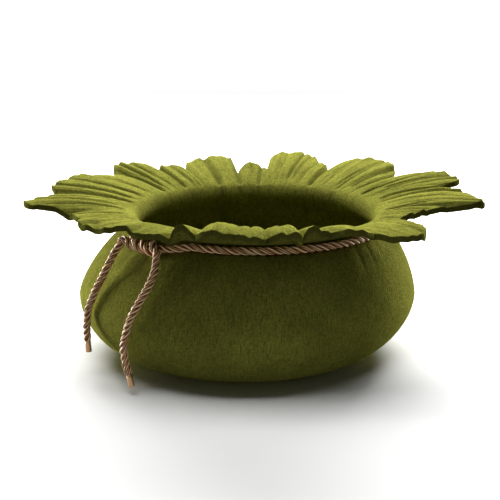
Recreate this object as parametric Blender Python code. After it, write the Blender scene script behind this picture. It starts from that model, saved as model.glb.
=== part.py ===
"""Felt cat cave: one thick felt shell with a belly, a neck and a ruffled petal collar,
and a twisted cord tied round the neck in a half knot, with a metal tip on each tail.

Metres, +Z up. The origin is the middle of the flat base. The front, where the cord is
tied, faces -Y. Azimuths are in degrees from +X, anticlockwise seen from above.
"""

import math

import bpy
import numpy as np

# Felt shell. Radii and levels are those of its outer face.
WALL = 0.0065
BASE_RADIUS = 0.117
BELLY_RADIUS = 0.2005
BELLY_LEVEL = 0.073
BELLY_POWER = 1.08
SHOULDER_RADIUS = 0.148
SHOULDER_LEVEL = 0.1542
SHOULDER_POWER = 1.44
FOOT_SHIFT = -0.002
NECK_RADIUS = 0.1455
NECK_LEVEL = 0.157
NECK_SHIFT = 0.0114
SHIFT_LEVEL = 0.150
SHIFT_POWER = 1.3
GROOVE_RADIUS = 0.010

# Steps of the shell's outline: turns in degrees along each curve of it.
BELLY_TURNS = (0, 11, 25, 41, 58, 74, 90)
SHOULDER_TURNS = (17, 34, 50, 64, 76)
GROOVE_TURNS = (-42, 0)
TURN_STEP = 0.5
TWO_FROM_TURN = 40
ROLL_PARTS = (0.45, 1.0)
PETAL_PARTS = (0.35, 0.7, 1.0)

# Slight unevenness of the belly: waves round it, azimuth of the first crest, depth.
BELLY_WAVES = (
    {"waves": 2, "crest": 165, "depth": 0.0012},
    {"waves": 3, "crest": 20, "depth": 0.0010},
    {"waves": 5, "crest": 10, "depth": 0.0006},
)
GATHER_DEPTH = 0.0011
GATHER_FALL = 0.030

# Pleats of the collar. The body has one column of points for each pleat, then two.
COLUMNS_PER_PLEAT = 4
ONE_PER_PLEAT = COLUMNS_PER_PLEAT
TWO_PER_PLEAT = COLUMNS_PER_PLEAT // 2
PLEAT_HEIGHTS = (-0.0027, 0.0008, 0.0018, 0.0008)
UNDERSIDE_SHARE = 0.6
PLEAT_SCALLOP = 0.25
PLEAT_ROOT = 0.30
PLEAT_TIP_LOSS = 0.5

# The collar's petals, anticlockwise from the slit at the right. tip and end are azimuths,
# and a petal starts where the one before it ends. reach is the radius of its tip and notch
# that of the notch at its end. rise is the slope in degrees where it leaves the neck, and
# tail the slope at its tip. full is how square its start and its end are (1 is a straight
# flank), and lift raises the felt at its end notch.
PETAL_START = 329
PETALS = (
    {"tip": 336, "end": 342, "reach": 0.184, "notch": 0.191, "rise": 13, "tail": 6,
     "full": (1.0, 1.0), "pleats": 2, "lift": 0.0},
    {"tip": 349, "end": 353.5, "reach": 0.206, "notch": 0.226, "rise": 14, "tail": 1,
     "full": (1.2, 1.0), "pleats": 3, "lift": -0.003},
    {"tip": 361, "end": 375.5, "reach": 0.2705, "notch": 0.234, "rise": 16, "tail": -9,
     "full": (3.2, 1.7), "pleats": 4, "lift": 0.001},
    {"tip": 382, "end": 397, "reach": 0.275, "notch": 0.214, "rise": 17, "tail": -1,
     "full": (2.2, 3.6), "pleats": 5, "lift": -0.002},
    {"tip": 410.5, "end": 422.5, "reach": 0.273, "notch": 0.214, "rise": 18, "tail": 2,
     "full": (1.3, 2.2), "pleats": 4, "lift": -0.001},
    {"tip": 437, "end": 445.5, "reach": 0.268, "notch": 0.202, "rise": 19, "tail": 2.5,
     "full": (1.2, 2.4), "pleats": 4, "lift": -0.001},
    {"tip": 452, "end": 457, "reach": 0.207, "notch": 0.192, "rise": 22, "tail": 12,
     "full": (1.0, 1.6), "pleats": 2, "lift": -0.002},
    {"tip": 463, "end": 476.5, "reach": 0.247, "notch": 0.201, "rise": 18, "tail": 6,
     "full": (7.0, 2.0), "pleats": 2, "lift": 0.001},
    {"tip": 482, "end": 487, "reach": 0.223, "notch": 0.215, "rise": 19, "tail": 7,
     "full": (1.6, 2.0), "pleats": 2, "lift": 0.001},
    {"tip": 494, "end": 500.5, "reach": 0.254, "notch": 0.226, "rise": 18, "tail": 5,
     "full": (2.6, 2.4), "pleats": 3, "lift": -0.003},
    {"tip": 519, "end": 531.5, "reach": 0.262, "notch": 0.236, "rise": 16, "tail": 1,
     "full": (1.5, 2.2), "pleats": 4, "lift": -0.001},
    {"tip": 543.5, "end": 548.5, "reach": 0.272, "notch": 0.238, "rise": 15, "tail": -6,
     "full": (1.5, 2.4), "pleats": 2, "lift": 0.003},
    {"tip": 552, "end": 566, "reach": 0.22, "notch": 0.206, "rise": 8, "tail": -3,
     "full": (1.0, 1.4), "pleats": 3, "lift": -0.001},
    {"tip": 579, "end": 592, "reach": 0.24, "notch": 0.223, "rise": 21, "tail": -4,
     "full": (1.5, 1.6), "pleats": 4, "lift": 0.004},
    {"tip": 597, "end": 604.8, "reach": 0.227, "notch": 0.210, "rise": 29, "tail": -10,
     "full": (1.6, 2.2), "pleats": 2, "lift": -0.010},
    {"tip": 608.8, "end": 612.8, "reach": 0.215, "notch": 0.206, "rise": 26, "tail": 13,
     "full": (4.0, 4.0), "pleats": 2, "lift": -0.006},
    {"tip": 618.2, "end": 624.0, "reach": 0.233, "notch": 0.222, "rise": 42, "tail": -15,
     "full": (2.4, 1.6), "pleats": 2, "lift": -0.001},
    {"tip": 629.4, "end": 632.6, "reach": 0.234, "notch": 0.219, "rise": 38, "tail": -15,
     "full": (1.4, 2.4), "pleats": 2, "lift": -0.002},
    {"tip": 639, "end": 642.0, "reach": 0.236, "notch": 0.206, "rise": 37, "tail": -10,
     "full": (1.5, 4.0), "pleats": 2, "lift": -0.011},
    {"tip": 645.0, "end": 650.8, "reach": 0.219, "notch": 0.214, "rise": 27, "tail": 15,
     "full": (4.0, 1.5), "pleats": 2, "lift": -0.003},
    {"tip": 654.5, "end": 662, "reach": 0.246, "notch": 0.226, "rise": 29, "tail": -3,
     "full": (2.4, 2.0), "pleats": 2, "lift": -0.001},
    {"tip": 671, "end": 689, "reach": 0.257, "notch": 0.176, "rise": 20, "tail": -9,
     "full": (2.0, 1.5), "pleats": 4, "lift": 0.0},
)

# Cord: three strands laid up right-handed.
CORD_RADIUS = 0.0045
CORD_VALLEY = 0.0032
STRANDS = 3
STEPS_PER_LAY = 8
CURVE_STEPS = 12
RING_LAY = 0.028
TAIL_LAY = 0.022
GAP = 0.0003

# The ring round the neck and the half knot at its front left.
RING_CLEAR = 0.0006
RING_RADIUS = NECK_RADIUS + GAP + RING_CLEAR + CORD_RADIUS
KNOT_LEFT = 214
KNOT_RIGHT = 230
KNOT_RADIUS = 0.1678
KNOT_LEVEL = 0.1532
KNOT_TURNS = 1.5
WRAP_RADIUS = 0.0049
KNOT_LEAD = 14
KNOT_POINTS = 19
RING_POINTS = 96

# Each tail's run from the knot: azimuth and radius about the base's middle, and level.
TAIL_LEFT = (
    {"azimuth": 213.4, "radius": 0.1668, "level": 0.1560},
    {"azimuth": 213.4, "radius": 0.1695, "level": 0.1500},
    {"azimuth": 212.8, "radius": 0.1755, "level": 0.1418},
    {"azimuth": 213.5, "radius": 0.1858, "level": 0.1274},
    {"azimuth": 212.2, "radius": 0.1930, "level": 0.1114},
    {"azimuth": 210.9, "radius": 0.1994, "level": 0.0955},
    {"azimuth": 209.8, "radius": 0.2050, "level": 0.0792},
    {"azimuth": 209.2, "radius": 0.2068, "level": 0.0620},
    {"azimuth": 208.9, "radius": 0.2068, "level": 0.0500},
    {"azimuth": 208.9, "radius": 0.2062, "level": 0.0400},
)
TAIL_RIGHT = (
    {"azimuth": 234.2, "radius": 0.1672, "level": 0.1450},
    {"azimuth": 235.6, "radius": 0.1765, "level": 0.1318},
    {"azimuth": 235.7, "radius": 0.1858, "level": 0.1198},
    {"azimuth": 233.8, "radius": 0.1980, "level": 0.0990},
    {"azimuth": 232.3, "radius": 0.2040, "level": 0.0848},
    {"azimuth": 231.2, "radius": 0.2072, "level": 0.0690},
    {"azimuth": 230.0, "radius": 0.2078, "level": 0.0520},
    {"azimuth": 230.7, "radius": 0.2080, "level": 0.0350},
    {"azimuth": 232.1, "radius": 0.2085, "level": 0.0215},
)

# Metal tips on the tails.
TIP_RADIUS = 0.0035
TIP_LENGTH = 0.014
TIP_ROUND = 0.0009
TIP_SIDES = 16
TAIL_STRAIGHT = 0.003

SHARP_ANGLE = 50
COLOURS = {
    "felt_green": {"rgb": (0.165, 0.185, 0.045), "roughness": 0.95, "metallic": 0.0},
    "cord_gold": {"rgb": (0.42, 0.25, 0.12), "roughness": 0.45, "metallic": 0.0},
    "tip_bronze": {"rgb": (0.48, 0.34, 0.18), "roughness": 0.35, "metallic": 0.9},
}


def clear_scene():
    for old in list(bpy.data.objects):
        bpy.data.objects.remove(old, do_unlink=True)


def make_material(name):
    colour = COLOURS[name]
    material = bpy.data.materials.new(name)
    material.use_nodes = True
    shader = material.node_tree.nodes["Principled BSDF"]
    shader.inputs["Base Color"].default_value = (*colour["rgb"], 1.0)
    shader.inputs["Roughness"].default_value = colour["roughness"]
    shader.inputs["Metallic"].default_value = colour["metallic"]
    return material


def add_object(name, points, faces, material):
    mesh = bpy.data.meshes.new(name)
    mesh.from_pydata(np.asarray(points).tolist(), [], faces)
    mesh.validate()
    mesh.shade_smooth()
    mesh.set_sharp_from_angle(angle=math.radians(SHARP_ANGLE))
    mesh.materials.append(material)
    made = bpy.data.objects.new(name, mesh)
    bpy.context.scene.collection.objects.link(made)
    return made


def smooth(fraction):
    """0 to 1 with level ends."""
    held = np.clip(fraction, 0.0, 1.0)
    return held * held * (3 - 2 * held)


# ---------------------------------------------------------------- felt shell


def belly_outline(turn):
    """Radius and level of the outer face from the base's edge (0) to the belly (90)."""
    rad = math.radians(turn)
    radius = BASE_RADIUS + (BELLY_RADIUS - BASE_RADIUS) * abs(math.sin(rad)) ** BELLY_POWER
    level = BELLY_LEVEL * (1 - abs(math.cos(rad)) ** BELLY_POWER)
    return np.array([radius, level])


def shoulder_outline(turn):
    """Radius and level of the outer face from the belly (0) to the foot of the neck (90)."""
    rad = math.radians(turn)
    across = BELLY_RADIUS - SHOULDER_RADIUS
    radius = SHOULDER_RADIUS + across * abs(math.cos(rad)) ** SHOULDER_POWER
    rise = SHOULDER_LEVEL - BELLY_LEVEL
    return np.array([radius, BELLY_LEVEL + rise * abs(math.sin(rad)) ** SHOULDER_POWER])


def groove_outline(turn):
    """Radius and level round the groove that the cord lies in, whose narrowest is at 0."""
    rad = math.radians(turn)
    centre = NECK_RADIUS + GROOVE_RADIUS
    return np.array(
        [centre - GROOVE_RADIUS * math.cos(rad), NECK_LEVEL + GROOVE_RADIUS * math.sin(rad)]
    )


def set_in(outline, turn, depth):
    """The outline's point at a turn, moved in from the outer face by a depth."""
    before = turn - TURN_STEP if turn else turn
    after = turn + TURN_STEP if turn < 90 else turn
    along = outline(after) - outline(before)
    outward = np.array([along[1], -along[0]]) / np.hypot(*along)
    return outline(turn) - outward * depth


def petal_columns():
    """One row of settings for each column of points round the collar."""
    rows = []
    start = PETAL_START
    notch = PETALS[-1]["notch"]
    lift = PETALS[-1]["lift"]
    for petal in PETALS:
        count = petal["pleats"] * COLUMNS_PER_PLEAT
        for index in range(count):
            azimuth = start + (petal["end"] - start) * index / count
            if azimuth < petal["tip"]:
                part = (azimuth - start) / (petal["tip"] - start)
                full, foot, edge_lift = petal["full"][0], notch, lift
            else:
                part = (petal["end"] - azimuth) / (petal["end"] - petal["tip"])
                full, foot, edge_lift = petal["full"][1], petal["notch"], petal["lift"]
            flank = (1 - (1 - part) ** full) ** (1 / full)
            pleat = PLEAT_HEIGHTS[index % COLUMNS_PER_PLEAT]
            reach = foot + (petal["reach"] - foot) * flank + PLEAT_SCALLOP * pleat
            rows.append((azimuth, reach, pleat, edge_lift * (1 - part) ** 2))
        start, notch, lift = petal["end"], petal["notch"], petal["lift"]
    return np.array(rows)


def around(azimuths, column):
    """A petal setting carried smoothly round the collar from tip to tip."""
    tips = np.array([petal["tip"] for petal in PETALS], float)
    values = np.array([petal[column] for petal in PETALS], float)
    tips = np.concatenate([[tips[-1] - 360], tips, [tips[0] + 360]])
    values = np.concatenate([[values[-1]], values, [values[0]]])
    place = np.interp(azimuths, tips, np.arange(len(tips)))
    lower = np.minimum(place.astype(int), len(tips) - 2)
    return values[lower] + (values[lower + 1] - values[lower]) * smooth(place - lower)


def axis_shift(level):
    """How far right of the base's middle the shell's middle lies at a level."""
    up = np.clip((level - BELLY_LEVEL) / (SHIFT_LEVEL - BELLY_LEVEL), 0, 1)
    down = np.clip(1 - level / BELLY_LEVEL, 0, 1)
    return NECK_SHIFT * up**SHIFT_POWER + FOOT_SHIFT * down


def ring_points(azimuths, radius, level):
    rad = np.radians(azimuths)
    level = np.broadcast_to(level, rad.shape)
    x = radius * np.cos(rad) + axis_shift(level)
    return np.stack([x, radius * np.sin(rad), level], axis=-1)


def body_ring(columns, outline, turn, depth, stride):
    """A ring of the body, with its waves and with the gathers under the cord."""
    azimuths = columns[::stride, 0]
    radius, level = set_in(outline, turn, depth)
    swell = 0.0 if outline is groove_outline else math.sin(math.pi * level / NECK_LEVEL)
    bump = np.zeros(len(azimuths))
    for wave in BELLY_WAVES:
        bump += wave["depth"] * np.cos(np.radians(wave["waves"] * (azimuths - wave["crest"])))
    radii = radius + bump * swell
    if outline is shoulder_outline and stride == TWO_PER_PLEAT:
        fade = math.exp(-((NECK_LEVEL - level) / GATHER_FALL) ** 2)
        radii += GATHER_DEPTH * fade * np.sign(columns[::stride, 2])
    return ring_points(azimuths, radii, level)


def collar_ring(columns, depth, roll=1.0, part=None):
    """A ring of the collar. roll runs from the neck (0) to the end of its curve (1), and
    part from there (0) along the petals to their tips (1)."""
    azimuths, reach, pleat, lift = columns.T
    rise = np.radians(around(azimuths, "rise"))
    tail = np.radians(around(azimuths, "tail"))
    bend = GROOVE_RADIUS + depth
    turn = (math.pi / 2 - rise) * roll
    radius = NECK_RADIUS + GROOVE_RADIUS - bend * np.cos(turn)
    level = NECK_LEVEL + bend * np.sin(turn)
    if part is None:
        return ring_points(azimuths, radius, level)
    length = reach - radius
    radius = radius + length * part
    level = level + length * (np.tan(rise) * part - (np.tan(rise) - np.tan(tail)) * part**2 / 2)
    share = UNDERSIDE_SHARE if depth == 0 else 1.0
    ramp = smooth(PLEAT_ROOT + 2 * part) * (1 - PLEAT_TIP_LOSS * part**2)
    level = level + pleat * share * ramp + lift * part
    return ring_points(azimuths, radius, level)


def bridge(lower, upper):
    """Faces between two rings of vertex numbers, of which one may have twice the other's."""
    faces = []
    few = min(len(lower), len(upper))
    for index in range(few):
        after = (index + 1) % few
        if len(lower) == len(upper):
            faces.append((lower[index], lower[after], upper[after], upper[index]))
            continue
        if len(lower) < len(upper):
            fine = [upper[2 * index], upper[2 * index + 1], upper[2 * after]]
            faces.append((lower[index], fine[1], fine[0]))
            faces.append((lower[index], lower[after], fine[1]))
            faces.append((lower[after], fine[2], fine[1]))
        else:
            fine = [lower[2 * index], lower[2 * index + 1], lower[2 * after]]
            faces.append((fine[0], fine[1], upper[index]))
            faces.append((fine[1], upper[after], upper[index]))
            faces.append((fine[1], fine[2], upper[after]))
    return faces


def skin(rings):
    """The points and faces of a closed body through the rings, capped at both ends."""
    ends = np.cumsum([len(ring) for ring in rings])
    numbers = [list(range(end - len(ring), end)) for ring, end in zip(rings, ends)]
    faces = [tuple(numbers[0][::-1]), tuple(numbers[-1])]
    for lower, upper in zip(numbers, numbers[1:]):
        faces += bridge(lower, upper)
    return np.concatenate(rings), faces


def shell_rings(columns):
    """The shell's rings in order: up the outer face, over the rim and down the inner one."""
    outer = [body_ring(columns, belly_outline, turn, 0.0, ONE_PER_PLEAT) for turn in BELLY_TURNS]
    inner = [body_ring(columns, belly_outline, turn, WALL, ONE_PER_PLEAT) for turn in BELLY_TURNS]
    for turn in SHOULDER_TURNS:
        stride = ONE_PER_PLEAT if turn < TWO_FROM_TURN else TWO_PER_PLEAT
        outer.append(body_ring(columns, shoulder_outline, turn, 0.0, stride))
        inner.append(body_ring(columns, shoulder_outline, turn, WALL, stride))
    for turn in GROOVE_TURNS:
        stride = TWO_PER_PLEAT if turn else 1
        outer.append(body_ring(columns, groove_outline, turn, 0.0, stride))
        inner.append(body_ring(columns, groove_outline, turn, WALL, stride))
    for roll in ROLL_PARTS:
        outer.append(collar_ring(columns, 0.0, roll=roll))
        inner.append(collar_ring(columns, WALL, roll=roll))
    for part in PETAL_PARTS:
        outer.append(collar_ring(columns, 0.0, part=part))
        inner.append(collar_ring(columns, WALL, part=part))
    return outer + inner[::-1]


def build_felt(material):
    return add_object("felt", *skin(shell_rings(petal_columns())), material)


# ---------------------------------------------------------------------- cord


def even_path(points, step):
    """A smooth curve through the points, with points at even steps along it."""
    points = np.asarray(points)
    before = 2 * points[0] - points[1]
    after = 2 * points[-1] - points[-2]
    padded = np.vstack([before, points, after])
    fine = []
    for p0, p1, p2, p3 in zip(padded, padded[1:], padded[2:], padded[3:]):
        for t in np.arange(CURVE_STEPS) / CURVE_STEPS:
            fine.append(
                0.5 * (2 * p1 + (p2 - p0) * t + (2 * p0 - 5 * p1 + 4 * p2 - p3) * t**2
                       + (3 * p1 - p0 - 3 * p2 + p3) * t**3)
            )
    fine = np.vstack([fine, points[-1]])
    run = np.concatenate([[0], np.cumsum(np.linalg.norm(np.diff(fine, axis=0), axis=1))])
    marks = np.linspace(0, run[-1], max(2, round(run[-1] / step)) + 1)
    return np.stack([np.interp(marks, run, fine[:, axis]) for axis in range(3)], axis=1)


def frames_along(path):
    """A tangent and an untwisted normal at each point of a path."""
    tangents = np.gradient(path, axis=0)
    tangents /= np.linalg.norm(tangents, axis=1)[:, None]
    side = np.cross(tangents[0], (0.0, 0.0, 1.0))
    normals = [side / np.linalg.norm(side)]
    for tangent in tangents[1:]:
        side = normals[-1] - tangent * np.dot(normals[-1], tangent)
        normals.append(side / np.linalg.norm(side))
    return tangents, np.array(normals)


def build_rope(name, points, lay, material):
    """A rope of lobed section along the points, turned once in each lay."""
    path = even_path(points, lay / STEPS_PER_LAY)
    tangents, normals = frames_along(path)
    sides = np.cross(tangents, normals)
    steps = np.arange(len(path))[:, None]
    corners = np.arange(2 * STRANDS)
    angles = 2 * math.pi * (corners / len(corners) + steps / STEPS_PER_LAY)
    radii = np.where(corners % 2, CORD_VALLEY, CORD_RADIUS)
    across = radii * np.cos(angles)
    along = radii * np.sin(angles)
    rings = path[:, None] + across[..., None] * normals[:, None]
    rings += along[..., None] * sides[:, None]
    add_object(name, *skin(rings), material)
    return path


def round_neck(azimuth, radius, level):
    """A point by azimuth and radius about the neck's middle."""
    rad = math.radians(azimuth)
    return np.array([NECK_SHIFT + radius * math.cos(rad), radius * math.sin(rad), level])


def knot_point(part, phase):
    """A wrap's centre: part runs from the knot's left end (0) to its right end (1)."""
    azimuth = KNOT_LEFT + (KNOT_RIGHT - KNOT_LEFT) * part
    radius = KNOT_RADIUS - WRAP_RADIUS * math.cos(phase)
    return round_neck(azimuth, radius, KNOT_LEVEL + WRAP_RADIUS * math.sin(phase))


def knot_run(start_phase):
    """One cord's way through the half knot, from its left end to its right end."""
    steps = np.linspace(0, 1, KNOT_POINTS)
    return [knot_point(part, start_phase + 2 * math.pi * KNOT_TURNS * part) for part in steps]


def lead_point(azimuth):
    """The ring's centre: in its groove, and led out to the knot near either end of that."""
    near = min(azimuth - KNOT_RIGHT, KNOT_LEFT + 360 - azimuth)
    seated = float(smooth(near / KNOT_LEAD))
    led = KNOT_RADIUS - WRAP_RADIUS
    radius = led + (RING_RADIUS - led) * seated
    return round_neck(azimuth, radius, KNOT_LEVEL + (NECK_LEVEL - KNOT_LEVEL) * seated)


def neck_route():
    """From the left tail through the knot, round the neck and through the knot again."""
    first = knot_run(math.pi)
    second = knot_run(0.0)
    azimuths = np.linspace(KNOT_RIGHT, KNOT_LEFT + 360, RING_POINTS)[1:-1]
    return np.array(first + [lead_point(azimuth) for azimuth in azimuths] + second)


def tail_route(exit_point, inner_point, rows):
    """From just past the knot's end, straight out for a little, through the rows' points."""
    heading = exit_point - inner_point
    heading /= np.linalg.norm(heading)
    points = [exit_point + heading * GAP, exit_point + heading * TAIL_STRAIGHT]
    for row in rows:
        rad = math.radians(row["azimuth"])
        out = row["radius"]
        points.append(np.array([out * math.cos(rad), out * math.sin(rad), row["level"]]))
    return np.array(points)


def build_tip(name, start, heading, material):
    """A metal tip: a short tube of one turned outline along the heading."""
    outline = (
        (TIP_RADIUS, 0.0),
        (TIP_RADIUS, TIP_LENGTH - TIP_ROUND),
        (TIP_RADIUS - TIP_ROUND, TIP_LENGTH),
    )
    side = np.cross(heading, (0.0, 1.0, 0.0))
    side /= np.linalg.norm(side)
    other = np.cross(heading, side)
    turns = 2 * math.pi * np.arange(TIP_SIDES) / TIP_SIDES
    circle = np.outer(np.cos(turns), side) + np.outer(np.sin(turns), other)
    rings = [start + heading * along + radius * circle for radius, along in outline]
    return add_object(name, *skin(rings), material)


def build_cords(cord, metal):
    route = build_rope("neck_cord", neck_route(), RING_LAY, cord)
    tails = (
        ("left", tail_route(route[0], route[1], TAIL_LEFT)),
        ("right", tail_route(route[-1], route[-2], TAIL_RIGHT)),
    )
    for side, points in tails:
        path = build_rope(f"tail_{side}", points, TAIL_LAY, cord)
        heading = path[-1] - path[-2]
        heading /= np.linalg.norm(heading)
        build_tip(f"tip_{side}", path[-1] + heading * GAP, heading, metal)


def main():
    clear_scene()
    build_felt(make_material("felt_green"))
    build_cords(make_material("cord_gold"), make_material("tip_bronze"))


main()
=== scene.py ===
"""Felt cat cave: the look of one thick felt shell with a ruffled petal collar, a three-strand cord
tied round its neck in a half knot, and a metal tip on each tail, in a plain studio.

Metres, +Z up. The origin is the middle of the flat base, and the front faces -Y. Azimuths are in
degrees from +X, anticlockwise seen from above.
"""

import logging
import math
from dataclasses import dataclass, field
from enum import Enum
from typing import Optional, Sequence

import bpy
import numpy as np
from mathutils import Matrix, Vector


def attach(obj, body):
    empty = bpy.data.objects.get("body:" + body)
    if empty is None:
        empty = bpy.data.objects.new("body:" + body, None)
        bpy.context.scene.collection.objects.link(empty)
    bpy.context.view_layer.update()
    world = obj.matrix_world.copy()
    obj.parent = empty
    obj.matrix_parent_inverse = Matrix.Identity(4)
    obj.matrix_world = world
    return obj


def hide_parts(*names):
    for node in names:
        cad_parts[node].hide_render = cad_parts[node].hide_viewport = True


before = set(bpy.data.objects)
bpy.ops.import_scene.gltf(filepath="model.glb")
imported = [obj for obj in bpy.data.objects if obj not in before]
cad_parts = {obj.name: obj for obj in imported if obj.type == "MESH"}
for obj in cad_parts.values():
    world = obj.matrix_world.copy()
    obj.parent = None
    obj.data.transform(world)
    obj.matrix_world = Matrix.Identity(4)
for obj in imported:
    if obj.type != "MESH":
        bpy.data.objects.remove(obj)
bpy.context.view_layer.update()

LOG = logging.getLogger("felt_cave")
Colour = tuple[float, float, float]
# Where in its pattern a layer of colour starts, where it is full, and its share there.
Layer = tuple[float, float, float]
Material = bpy.types.Material
NodeTree = bpy.types.NodeTree
Node = bpy.types.Node
Socket = bpy.types.NodeSocket
Grid = np.ndarray


class Slot(Enum):
    """The record's material slots."""

    FELT = "felt_green"
    CORD = "cord_gold"
    TIP = "tip_bronze"


# ------------------------------------------------------------------ small maths

STEPS_BETWEEN = 24


def smooth(fraction: Grid) -> Grid:
    """Zero to one with level ends: 3f squared less 2f cubed, held outside 0 to 1."""
    held = np.clip(fraction, 0.0, 1.0)
    return held * held * (3 - 2 * held)


def scatter(index: Grid, salt: float) -> Grid:
    """An even-looking spread from 0 to 1 for whole numbers: the fraction of a large sine."""
    value = np.sin(index * 12.9898 + salt * 78.233) * 43758.5453
    return value - np.floor(value)


def uneven_size(spread: tuple[float, float], index: Grid, salt: float) -> Grid:
    """Sizes for whole numbers: the spread's first, plus some share of its second."""
    return spread[0] + spread[1] * scatter(index, salt)


def table(names: str, *rows: Sequence[float]) -> tuple[dict[str, float], ...]:
    """Rows of numbers as one record each, by the names of their columns."""
    return tuple(dict(zip(names.split(), row)) for row in rows)


def run_along(path: Grid) -> Grid:
    """The distance along a path at each of its points."""
    steps = np.linalg.norm(np.diff(path, axis=0), axis=1)
    return np.concatenate([[0], np.cumsum(steps)])


def even_path(points: Sequence[Sequence[float]], step: float) -> Grid:
    """Points at even steps along a smooth curve through some points.

    The curve between two points is the cubic whose slope at each is half the way between its
    neighbours.

    Args:
        points: The points that the curve goes through, in metres.
        step: The rough distance between the points that come back.

    Returns:
        The even points, one row each.
    """
    given = np.asarray(points, float)
    padded = np.vstack([2 * given[0] - given[1], given, 2 * given[-1] - given[-2]])
    p0, p1, p2, p3 = (padded[k : len(padded) - 3 + k, None, :] for k in range(4))
    t = np.linspace(0, 1, STEPS_BETWEEN, endpoint=False)[None, :, None]
    fine = 0.5 * (
        2 * p1 + (p2 - p0) * t + (2 * p0 - 5 * p1 + 4 * p2 - p3) * t**2
        + (3 * p1 - p0 - 3 * p2 + p3) * t**3
    )
    fine = np.vstack([fine.reshape(-1, 3), given[-1]])
    run = run_along(fine)
    marks = np.linspace(0, run[-1], max(2, round(run[-1] / step)) + 1)
    return np.stack([np.interp(marks, run, fine[:, axis]) for axis in range(3)], axis=1)


def path_length(path: Grid) -> float:
    """The distance along a whole path."""
    return float(run_along(path)[-1])


def frames_along(path: Grid) -> tuple[Grid, Grid, Grid]:
    """A tangent and two untwisted sides at each point of a path.

    Each normal is the one before it, less what of it lies along the new tangent.

    Args:
        path: The path's points.

    Returns:
        Tangents, normals and the sides that are square to both.
    """
    tangents = np.gradient(path, axis=0)
    tangents /= np.linalg.norm(tangents, axis=1)[:, None]
    side = np.cross(tangents[0], (0.0, 0.0, 1.0))
    normals = [side / np.linalg.norm(side)]
    for tangent in tangents[1:]:
        side = normals[-1] - tangent * np.dot(normals[-1], tangent)
        normals.append(side / np.linalg.norm(side))
    normals = np.array(normals)
    return tangents, normals, np.cross(tangents, normals)


# ------------------------------------------------------------------ mesh making


@dataclass
class Surface:
    """Points and faces of a piece, with numbers that its material reads at each point."""

    points: Grid
    faces: Grid
    caps: list[list[int]]
    numbers: dict[str, Grid]


def grid_faces(rows: int, columns: int) -> Grid:
    """The squares of rings of points, ring by ring.

    A square joins point j of ring i to the next one round it, then to the same two of the ring
    above. A ring's last point joins its first.

    Args:
        rows: How many rings there are.
        columns: How many points a ring has.

    Returns:
        Four point numbers for each square.
    """
    row = np.arange(rows - 1)[:, None] * columns
    column = np.arange(columns)[None, :]
    after = (column + 1) % columns
    square = [row + column, row + after, row + columns + after, row + columns + column]
    return np.stack(square, axis=-1).reshape(-1, 4)


def tube_surface(rings: Grid, numbers: dict[str, Grid]) -> Surface:
    """A closed body through rings of points, with a flat cap on either end.

    Args:
        rings: Points as rings by corners by three.
        numbers: A number for each point, as rings by corners, for each name.

    Returns:
        The closed surface.
    """
    rows, columns = rings.shape[:2]
    caps = [list(range(columns))[::-1], list(range((rows - 1) * columns, rows * columns))]
    flat = {name: value.reshape(-1) for name, value in numbers.items()}
    return Surface(rings.reshape(-1, 3), grid_faces(rows, columns), caps, flat)


def joined(surfaces: Sequence[Surface]) -> Surface:
    """Several surfaces as one, each keeping its own points.

    Args:
        surfaces: The surfaces, which all carry the same numbers.

    Returns:
        The one surface.
    """
    starts = np.cumsum([0] + [len(surface.points) for surface in surfaces])
    caps = [
        [number + int(start) for number in cap]
        for surface, start in zip(surfaces, starts)
        for cap in surface.caps
    ]
    names = surfaces[0].numbers
    return Surface(
        np.concatenate([surface.points for surface in surfaces]),
        np.concatenate([surface.faces + start for surface, start in zip(surfaces, starts)]),
        caps,
        {name: np.concatenate([surface.numbers[name] for surface in surfaces]) for name in names},
    )


def add_piece(name: str, surface: Surface, material: Material) -> bpy.types.Object:
    """Makes a piece's object at the origin, smooth shaded, riding on the object's one body.

    Args:
        name: The piece's name.
        surface: Its points, faces and numbers.
        material: What it is made of.

    Returns:
        The new object.
    """
    mesh = bpy.data.meshes.new(name)
    sizes = np.concatenate(
        [np.full(len(surface.faces), 4), [len(cap) for cap in surface.caps]]
    ).astype(np.int32)
    corners = np.concatenate([surface.faces.reshape(-1), *surface.caps]).astype(np.int32)
    mesh.vertices.add(len(surface.points))
    mesh.vertices.foreach_set("co", surface.points.astype(np.float32).reshape(-1))
    mesh.loops.add(len(corners))
    mesh.loops.foreach_set("vertex_index", corners)
    mesh.polygons.add(len(sizes))
    starts = np.concatenate([[0], np.cumsum(sizes)[:-1]]).astype(np.int32)
    mesh.polygons.foreach_set("loop_start", starts)
    mesh.polygons.foreach_set("loop_total", sizes)
    mesh.update(calc_edges=True)
    for label, values in surface.numbers.items():
        layer = mesh.attributes.new(label, "FLOAT", "POINT")
        layer.data.foreach_set("value", values.astype(np.float32))
    mesh.validate()
    mesh.shade_smooth()
    mesh.materials.append(material)
    made = bpy.data.objects.new(name, mesh)
    bpy.context.scene.collection.objects.link(made)
    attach(made, "root")
    LOG.info("%s: %d points, %d faces", name, len(mesh.vertices), len(mesh.polygons))
    return made


# ------------------------------------------------------------------ shader helpers


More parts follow.
